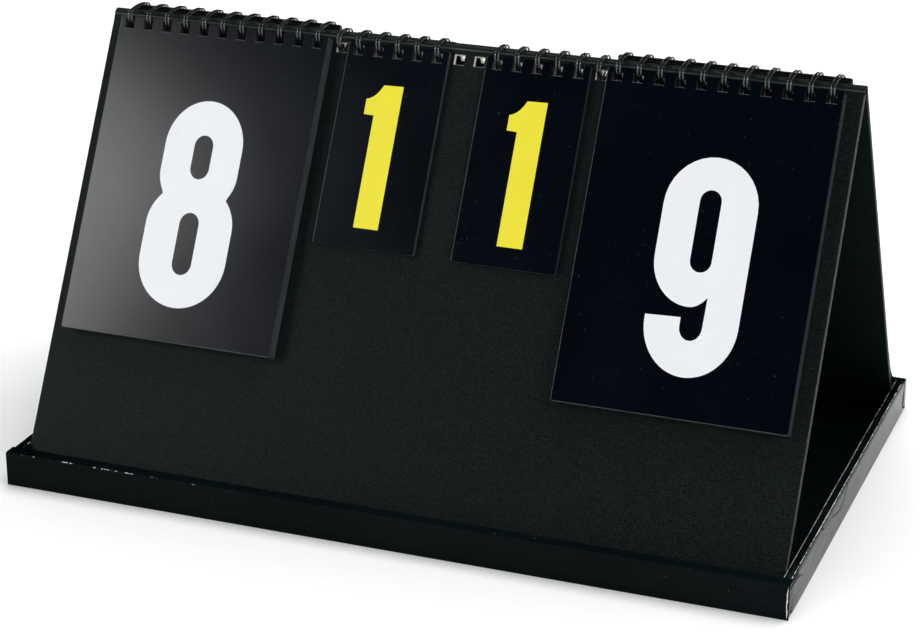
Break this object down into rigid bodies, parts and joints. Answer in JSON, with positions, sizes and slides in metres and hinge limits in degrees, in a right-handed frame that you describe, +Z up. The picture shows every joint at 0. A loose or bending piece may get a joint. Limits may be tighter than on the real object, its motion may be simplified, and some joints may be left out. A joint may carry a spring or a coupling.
{
  "type": "tabletop flip scoreboard",
  "caption": "Free-standing tent scoreboard in a shallow black tray, with numbered cards that flip over a row of twin wire loops.",
  "frame": {"origin": "centre of the tray's underside", "axes": "+X along the ridge, to the right as the front is read; +Y to the rear; +Z up"},
  "size_m": [0.327, 0.208, 0.1777],
  "materials": {
    "tray_film": "gloss black film over folded board",
    "raw_board": "raw grey board",
    "board_cover": "matte black fine-grained covering paper",
    "wire_black": "black nylon-coated wire",
    "card_black": "semi-gloss black coated card"
  },
  "bodies": {
    "tray": {"tray_floor": "tray_film", "tray_front_wall": "tray_film", "tray_rear_wall": "tray_film", "tray_left_wall": "tray_film", "tray_right_wall": "tray_film", "tray_corner_tucks": "raw_board", "rear_hinge_strip": "tray_film"},
    "rear_panel": {"rear_board": "board_cover", "ridge_strip": "board_cover", "left_points_flipped_stack": "card_black", "left_sets_flipped_stack": "card_black", "right_sets_flipped_stack": "card_black", "right_points_flipped_stack": "card_black"},
    "front_panel": {"front_board": "board_cover", "left_wire": "wire_black", "right_wire": "wire_black", "left_points_front_stack": "card_black", "left_points_next_card": "card_black", "left_sets_front_stack": "card_black", "left_sets_next_card": "card_black", "right_sets_front_stack": "card_black", "right_sets_next_card": "card_black", "right_points_front_stack": "card_black", "right_points_next_card": "card_black"},
    "left_points_card": {"left_points_flip_card": "card_black"},
    "left_sets_card": {"left_sets_flip_card": "card_black"},
    "right_sets_card": {"right_sets_flip_card": "card_black"},
    "right_points_card": {"right_points_flip_card": "card_black"}
  },
  "joints": [
    {"name": "rear_hinge", "type": "hinge", "parent": "tray", "child": "rear_panel", "pos_m": [0, 0.097, 0.0023], "axis": [-1, 0, 0], "range_deg": [0, 29.5], "deforming": ["rear_hinge_strip"]},
    {"name": "ridge_fold", "type": "hinge", "parent": "rear_panel", "child": "front_panel", "pos_m": [0, 0.00107, 0.17185], "axis": [1, 0, 0], "range_deg": [0, 59], "deforming": ["left_wire", "right_wire"]},
    {"name": "left_points_flip", "type": "hinge", "parent": "front_panel", "child": "left_points_card", "pos_m": [0, -0.00233, 0.18686], "axis": [-1, 0, 0], "range_deg": [0, 301.3]},
    {"name": "left_sets_flip", "type": "hinge", "parent": "front_panel", "child": "left_sets_card", "pos_m": [0, -0.00173, 0.18107], "axis": [-1, 0, 0], "range_deg": [0, 301.3]},
    {"name": "right_sets_flip", "type": "hinge", "parent": "front_panel", "child": "right_sets_card", "pos_m": [0, -0.00173, 0.18107], "axis": [-1, 0, 0], "range_deg": [0, 301.3]},
    {"name": "right_points_flip", "type": "hinge", "parent": "front_panel", "child": "right_points_card", "pos_m": [0, -0.00233, 0.18686], "axis": [-1, 0, 0], "range_deg": [0, 301.3]}
  ],
  "couplings": [
    {"joint": "ridge_fold", "follows": "rear_hinge", "ratio": 2}
  ]
}
